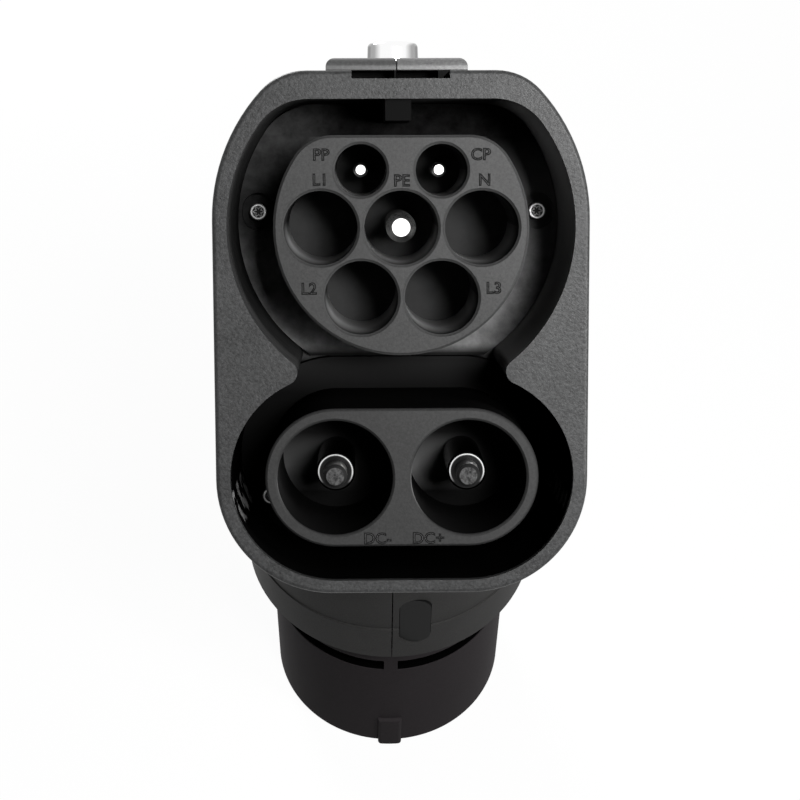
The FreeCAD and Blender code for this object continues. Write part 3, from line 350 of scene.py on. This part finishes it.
recess_middle = -21.5
recess_edge = -1.6
inward_from = -2
tab_front = -3
waist = -29
slot_half = 12.3
slot_foot = 28.9
slot_front = -1.2
left_glint = (-33.5, -57.0)
left_glint_reach = 3.5
right_glint = (33.0, -56.0)
right_glint_reach = 2
rim_tones = (grey(0.006), grey(0.05, -0.01))
wall_tones = (grey(0.018), grey(0.045))
right_wall_painted_light = grey(0.3)
tab_shade_tone = grey(0.006)
low_hollow_shade = grey(0.0015)
painted_glint_tone = grey(0.3)
slot_shade_tone = grey(0.0005)

rim_grey = Finish("housing_grain", roughness=0.4, specular=0.2)
across, up, out = inlet_place(rim_grey)
facing_across, facing_up, facing_out = inlet_facing(rim_grey)
rim_color = grained(rim_grey, *rim_tones, grain=1700.0, strength=1.2)
outward = across * facing_across + (up - recess_middle) * facing_up
level = facing_out.above(0.6, 0.1)
inside = outward.below(inward_from, 1) + level * out.below(recess_edge - 0.2, 0.1)
inside = (inside * out.below(recess_edge, 0.4)).smaller(1.0)
streak = rim_grey.noise(140.0, detail=4.0, stretch=(1.0, 6.0, 1.0))
# Level faces less than 3 mm deep, such as the tab's, are painted dark as shade under the rim.
floor_tone = rim_grey.mix(out.above(tab_front), floor_light_and_shade(rim_grey, across, up), tab_shade_tone)
hollow_color_and_shade = rim_grey.mix(streak, *wall_tones)
# The recess's right wall, which faces left, is painted paler as painted light.
hollow_color_and_shade = rim_grey.mix(facing_across.below(-0.3, 0.2), hollow_color_and_shade, right_wall_painted_light)
hollow_color_and_shade = rim_grey.mix(level, hollow_color_and_shade, floor_tone)
# Below the waist the recess is painted near black as shade.
hollow_color_and_shade = rim_grey.mix(up.below(waist, 2), hollow_color_and_shade, low_hollow_shade)
# Painted glints: speckled painted highlights low on the left and right walls.
glint_speckle = rim_grey.noise(240.0, detail=4.0).above(0.56, 0.07)
glint_spots = (reach_from(across, up, *left_glint).below(left_glint_reach, 0.4)
         + reach_from(across, up, *right_glint).below(right_glint_reach, 0.4))
hollow_color_and_shade = rim_grey.mix(glint_speckle * glint_spots, hollow_color_and_shade, painted_glint_tone)
# The slot is painted near black as shade, over a strip wider than the notch.
slot = abs(across).below(slot_half) * up.above(slot_foot) * out.below(slot_front)
hollow_color_and_shade = rim_grey.mix(slot, hollow_color_and_shade, slot_shade_tone)
rim_grey.set("Base Color", rim_color)
rim_grey.matte_where(inside.larger(slot), hollow_color_and_shade)


def dress(finish, *names):
    """Put one finish on carried-over nodes."""
    for name in names:
        slots = node[name].data.materials
        slots.clear()
        slots.append(finish.material)


dress(rim_grey, "inlet_housing")


# Contact islands: each is moulded in one with the plate that floors its half of the recess, in
# the housing's grey. Their wells are dull and dark, with painted light on the walls that the
# light reaches and painted shade at their mouths and on their left walls. The lower face, the
# island's top side, the DC wells' surroundings and the plates low down carry painted shade.
island_reach = 26.2
island_top = 18.3
dc_across = 13.5
dc_up = -50.2
dc_top = -30
dc_wall = 11.9
dc_dark_foot = -55.5
well_edge = -0.4
well_dusk = -8
dc_well_low = -49.5
plate_depth = -33
plate_change = -27.5
plate_foot = -34
face_tones = (grey(0.018), grey(0.04))
dc_face_shade = grey(0.004)
well_tones = (grey(0.034), grey(0.07))
well_left_wall_shade = grey(0.024)
well_low_wall_light = grey(0.3)
well_mouth_shade = grey(0.016)
island_side_shade = grey(0.006)
dc_well_tone = grey(0.012)
minus_well_painted_light = grey(0.09)
plus_well_painted_light = grey(0.16)
waist_plate_shade = grey(0.015)
low_plate_shade = grey(0.005)
dc_side_shade = grey(0.004)
dc_foot_shade = grey(0.006)

island_grey = Finish("island_grain", roughness=0.42, specular=0.17)
across, up, out = inlet_place(island_grey)
facing_across, facing_up, facing_out = inlet_facing(island_grey)
island_color = grained(island_grey, *face_tones, grain=2000.0, depth=0.04)
dc_part = up.below(dc_top)
wall = facing_out.below(0.5, 0.1) * up.above(dc_top)
haze = island_grey.noise(160.0, detail=4.0, roughness=0.6)
well_color = island_grey.mix(haze, *well_tones)
# Painted shade on the wells' left walls and near their mouths, painted light on their low walls.
well_color = island_grey.mix(wall * facing_across.above(0.3, 0.3), well_color, well_left_wall_shade)
well_color = island_grey.mix(wall * facing_up.above(0.2, 0.3), well_color, well_low_wall_light)
well_color = island_grey.mix(wall * out.above(well_dusk, 7), well_color, well_mouth_shade)
# The island's top side is painted dark as shade under the recess's top.
island_side = up.above(island_top - 0.5) * facing_out.below(0.5, 0.1)
well_color = island_grey.mix(island_side, well_color, island_side_shade)

# Painted light on the lower left of each DC well's floor, paler in the plus well.
plus_well = across.above(0.0)
off_axis = across + dc_across - plus_well * (2 * dc_across)
well_lit_side = off_axis.below(-1, 6) * up.below(dc_well_low, 4) * facing_out.above(0.3, 0.1)
left_tone = island_grey.mix(plus_well, minus_well_painted_light, plus_well_painted_light)
dc_color = island_grey.mix(well_lit_side, dc_well_tone, left_tone)
well_color = island_grey.mix(dc_part, well_color, dc_color)

plate = reach_from(across, up, 0, 0).above(island_reach, 0.4)
plate = plate.larger(up.above(island_top)) * out.below(plate_depth)
plate_color = floor_light_and_shade(island_grey, across, up)
# The plates are painted darker at the waist and near black lower down, as shade.
plate_color = island_grey.mix(up.below(plate_change, 1), plate_color, waist_plate_shade)
plate_color = island_grey.mix(up.below(plate_foot, 3), plate_color, low_plate_shade)
well_color = island_grey.mix(plate, well_color, plate_color)

# Around the DC wells and low at the foot the island is painted near black as shade.
dc_side = reach_from(abs(across), up, dc_across, dc_up).above(dc_wall, 0.2) * dc_part
well_color = island_grey.mix(dc_side * (1 - plate), well_color, dc_side_shade)
well_color = island_grey.mix(up.below(dc_dark_foot, 3), well_color, dc_foot_shade)
# The lower island's face is painted darker, as shade.
island_grey.set("Base Color", island_grey.mix(dc_part * 0.3, island_color, dc_face_shade))
island_grey.matte_where(out.below(well_edge, 0.2), well_color)
dress(island_grey, "ac_insert", "dc_insert")


# Contact marks: plain upright letters beside the wells, engraved in the islands as grooves,
# shown by a paler floor edged with painted shade for the groove walls. Each is a thin mesh of
# the letters and one of their outline, just over the face.
mark_cap = 2.35
cap_share = 0.73
mark_size = mark_cap / cap_share
mark_proud = 0.02
mark_edge_half = 0.12
mark_flatness = 0.2
mark_places = {"PP": (-15.8, 14.3), "CP": (15.7, 14.3), "L1": (-16.0, 9.4), "PE": (0.1, 9.2),
               "N": (16.5, 9.3), "L2": (-18.4, -12.1), "L3": (18.4, -12.1),
               "DC-": (-5.0, -62.7), "DC+": (5.3, -62.7)}
mark_fill_tones = (grey(0.04), grey(0.07))
mark_edge_shade_tones = (grey(0.003), grey(0.012))

mark_fill = Finish("engraved_floor", roughness=0.7, specular=0.2)
mark_fill.set("Base Color", mark_fill.mix(mark_fill.noise(3000.0), *mark_fill_tones))
# The edge band is painted shade for the groove walls.
mark_edge = Finish("engraved_edge_shade", roughness=0.8, specular=0.1)
mark_edge.set("Base Color", mark_edge.mix(mark_edge.noise(3000.0), *mark_edge_shade_tones))


def letter_mesh(name, text, outline):
    """A mark as a mesh: its filled letters, or only their outline as a thin band."""
    curve = bpy.data.curves.new(name, "FONT")
    curve.body = text
    curve.size = mark_size * MM
    curve.align_x = "CENTER"
    curve.align_y = "CENTER"
    curve.resolution_u = 4
    if outline:
        curve.fill_mode = "NONE"
        curve.bevel_depth = mark_edge_half * MM
        curve.bevel_resolution = 0
    holder = bpy.data.objects.new(name, curve)
    bpy.context.scene.collection.objects.link(holder)
    bpy.context.view_layer.update()
    drawn = holder.evaluated_get(bpy.context.evaluated_depsgraph_get())
    data = bpy.data.meshes.new_from_object(drawn)
    bpy.data.objects.remove(holder)
    return data


for text, (mark_across, mark_up) in mark_places.items():
    word = text.replace("-", "_minus").replace("+", "_plus")
    seat = inlet @ Matrix.Translation(on_inlet(mark_across, mark_up, mark_proud))
    for layer, finish in (("floor", mark_fill), ("edge", mark_edge)):
        data = letter_mesh(f"mark_{word}_{layer}", text, outline=layer == "edge")
        data.transform(Matrix.Scale(mark_flatness, 4, (0, 0, 1)))
        data.transform(seat)
        data.materials.clear()
        data.materials.append(finish.material)
        piece = bpy.data.objects.new(data.name, data)
        bpy.context.scene.collection.objects.link(piece)
        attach(piece, "body")


# Contacts: silver-plated turned pins and sleeves, bright on their ends. The two large pins end
# in dark plastic tips that keep a finger off live metal.
silver_color = (0.96, 0.96, 0.95)
silver_smoothest = 0.14
silver_spread = 0.16

silver = Finish("silver_plate", silver_color, metallic=1.0)
silver.bump(silver.noise(4000.0), 0.01 * MM, 0.4)
silver.set("Roughness", silver.noise(900.0, detail=3.0) * silver_spread + silver_smoothest)
dress(silver, "earth_pin", "proximity_pin", "pilot_pin", "power_socket_minus",
      "power_socket_plus", "signal_sockets")

bright_from = 3.35
bright_to = 3.7
bright_low = dc_up - 1.4
shank_tone = grey(0.015)
shoulder_highlight_tone = grey(0.6)

pin_silver = Finish("shouldered_pin", roughness=0.25, metallic=1.0)
across, up = inlet_place(pin_silver)[:2]
reach = reach_from(abs(across), up, dc_across, dc_up)
# The large pins are painted near black, with a painted highlight on the upper arc of each shoulder
# ring.
bright = reach.above(bright_from, 0.1) * reach.below(bright_to, 0.1) * up.above(bright_low, 1)
pin_silver.set("Base Color", pin_silver.mix(bright, shank_tone, shoulder_highlight_tone))
dress(pin_silver, "dc_pin_minus", "dc_pin_plus")

tip_side_tone = grey(0.008)
tip_front_lit_tones = (grey(0.004), grey(0.065))

tip_black = Finish("pin_tip_plastic", roughness=0.45, specular=0.15)
facing_out = inlet_facing(tip_black)[2]
# The tips' front faces carry painted light in random patches; their sides stay dark.
front_patches = tip_black.noise(1300.0, detail=4.0, roughness=0.7).above(0.5, 0.12)
tip_front_lit = tip_black.mix(front_patches, *tip_front_lit_tones)
tip_black.set("Base Color", tip_black.mix(facing_out.above(0.8, 0.1), tip_side_tone, tip_front_lit))
dress(tip_black, "dc_pin_tip_minus", "dc_pin_tip_plus")


# Screws, clip, springs, rods and the service connector: small zinc-plated steel parts. The
# recess screws lie in counterbores of the plates; their dark heads carry a painted highlight as
# a bright ring, with the star of the drive painted inside it on the upper two.
zinc_tones = (grey(0.12), grey(0.4))
zinc_smoothest = 0.18
zinc_spread = 0.25

zinc = Finish("zinc_plate", metallic=1.0)
zinc.set("Roughness", zinc.noise(1500.0, detail=3.0) * zinc_spread + zinc_smoothest)
zinc.set("Base Color", zinc.mix(zinc.noise(500.0, detail=3.0), *zinc_tones))
dress(zinc, "shell_screws", "button_clip", "button_spring", "push_rod", "latch_pin",
      "latch_spring", "service_connector")

high_screw = (30.15, 2.3)
low_screw = (28.2, -60)
star_reach = 0.85
star_lobe = 0.22
star_points = 6
star_line = 0.16
ring_from = 1.3
ring_to = 1.6
head_tone = grey(0.02)
head_lit_tone = grey(0.5)

head_steel = Finish("screw_heads", roughness=0.35, metallic=1.0)
across, up = inlet_place(head_steel)[:2]
reach = reach_from(abs(across), up, *high_screw).smaller(reach_from(abs(across), up, *low_screw))
turn = up.math("ARCTAN2", up - high_screw[1], abs(across) - high_screw[0]) * star_points
lobes = turn.math("COSINE", turn) * star_lobe + star_reach
star = abs(reach - lobes).below(star_line, 0.06)
# Painted highlight: a bright ring and, fainter, the star of the drive.
ring = reach.above(ring_from, 0.08) * reach.below(ring_to, 0.08)
lit = (star * 0.4).larger(ring)
head_steel.set("Base Color", head_steel.mix(lit, head_tone, head_lit_tone))
dress(head_steel, "inlet_screws")


# Body: two moulded halves that meet in a fine seam, with a raised pad at the front top. The
# plastic is a darker satin black with a very fine grain, a touch warm. The pad's front is finely
# mottled and paler with a painted sheen, most of all on its right half, and ends over a slot
# painted near black as shade.
pad_foot = 32.8
pad_end = -60
pad_slot_foot = 29
pad_slot_top = 32.7
coat_end = -30
shell_tones = (grey(0.018, 0.02), grey(0.034, 0.02))
pad_left_sheen_tones = (grey(0.025), grey(0.065))
pad_right_sheen_tones = (grey(0.075), grey(0.16))
pad_slot_shade = grey(0.001)

shell_black = Finish("shell_satin", roughness=0.5, specular=0.05, coat_roughness=0.34)
across, up, out = inlet_place(shell_black)
shell_color = grained(shell_black, *shell_tones, grain=2600.0, depth=0.03, strength=0.5)
mottle = shell_black.noise(1500.0, detail=3.0, roughness=0.7).above(0.5, 0.2)
# The pad's front carries a painted sheen over its mottle, stronger on its right half.
left_tone = shell_black.mix(mottle, *pad_left_sheen_tones)
right_tone = shell_black.mix(mottle, *pad_right_sheen_tones)
pad_sheen_color = shell_black.mix(across.above(0.0), left_tone, right_tone)
pad = up.above(pad_foot, 0.1)
shell_color = shell_black.mix(pad * out.above(pad_end), shell_color, pad_sheen_color)
# The slot under the pad is painted near black as shade.
slot = abs(across).below(slot_half) * up.above(pad_slot_foot) * up.below(pad_slot_top)
slot = slot * out.above(pad_end)
shell_black.set("Base Color", shell_black.mix(slot, shell_color, pad_slot_shade))
shell_black.set("Coat Weight", pad * out.below(coat_end))
dress(shell_black, "left_shell", "right_shell")


# Plug barrel: a round tube of matt black plastic, a little warmer than the shells. A groove
# with one small lug runs around its upper half, and its floor is painted near black as shade.
groove_inner = 32.5 * MM
groove_outer = 34.7 * MM
groove_low = 44.3 * MM
groove_high = 49.7 * MM
groove_shade = grey(0.001)
barrel_dark = (0.023, 0.0202, 0.0215, 1)
barrel_pale = (0.03, 0.0265, 0.0282, 1)

barrel_black = Finish("barrel_satin", roughness=0.6, specular=0.02)
barrel_black.set("Base Color", grained(barrel_black, barrel_dark, barrel_pale, grain=1500.0,
                                       depth=0.02, strength=0.4))
beside, behind, height = barrel_black.parts(barrel_black.place())
reach = reach_from(beside, behind, 0, 0)
# The groove's floor is painted near black as shade.
groove = reach.above(groove_inner) * reach.below(groove_outer)
groove = groove * height.above(groove_low) * height.below(groove_high)
barrel_black.matte_where(groove, groove_shade)
dress(barrel_black, "plug_barrel")


# Release button: a turned metal cap with a polished, gently domed end, over its steel stem. Its
# flanks carry a painted reflection of the darker body to the left and right.
chrome_tone = grey(0.96)
flank_reflection_tone = grey(0.4)
side_reflection_tone = grey(0.12)

chrome = Finish("button_chrome", roughness=0.1, metallic=1.0)
chrome.bump(chrome.noise(2500.0), 0.005 * MM, 0.3)
# Painted reflection: the flanks darker, the sides darkest, as the body mirrored.
sideways = abs(inlet_facing(chrome)[0])
flank_reflection = chrome.mix(sideways.above(0.6, 0.12), chrome_tone, flank_reflection_tone)
chrome.set("Base Color", chrome.mix(sideways.above(0.9, 0.06), flank_reflection, side_reflection_tone))
dress(chrome, "release_button")


# Inside the plug and body: natural dark plastic for the core, lever and battery holder, green
# boards, copper bars, blue-sleeved cells and soft black rubber for seals and the port's plug.
core_tones = (grey(0.05), grey(0.075))
board_tones = ((0.01, 0.07, 0.03, 1), (0.02, 0.12, 0.05, 1))
copper_color = (0.8, 0.42, 0.27)
copper_smoothest = 0.2
copper_spread = 0.3
sleeve_tones = ((0.02, 0.06, 0.2, 1), (0.03, 0.08, 0.26, 1))
seal_tones = (grey(0.004), grey(0.008))
port_front_tone = grey(0.014)
port_side_shade = grey(0.001)

core_plastic = Finish("core_plastic", roughness=0.5, specular=0.4)
core_plastic.set("Base Color", core_plastic.mix(core_plastic.noise(300.0, detail=4.0),
                                                *core_tones))
dress(core_plastic, "plug_core", "latch_lever", "battery_tray", "board_components")

board_green = Finish("board_green", roughness=0.35, coat=0.3)
board_green.set("Base Color", board_green.mix(board_green.noise(600.0), *board_tones))
dress(board_green, "converter_board", "port_board")

copper = Finish("bar_copper", copper_color, metallic=1.0)
copper.set("Roughness", copper.noise(400.0, detail=3.0) * copper_spread + copper_smoothest)
dress(copper, "power_bar_minus", "power_bar_plus")

sleeve_blue = Finish("cell_sleeve", roughness=0.3, coat=0.4)
sleeve_blue.set("Base Color", sleeve_blue.mix(sleeve_blue.noise(200.0), *sleeve_tones))
dress(sleeve_blue, "battery_cells")

rubber = Finish("soft_rubber", roughness=0.75, specular=0.3)
rubber.set("Base Color", rubber.mix(rubber.noise(500.0, detail=4.0), *seal_tones))
dress(rubber, "body_seal")

plug_rubber = Finish("port_rubber", roughness=0.7, specular=0.1)
# The port plug's sides are painted near black as shade, its front a little paler.
front = plug_rubber.facing()[1].below(-0.93, 0.03)
plug_rubber.set("Base Color", plug_rubber.mix(front, port_side_shade, port_front_tone))
dress(plug_rubber, "port_plug")
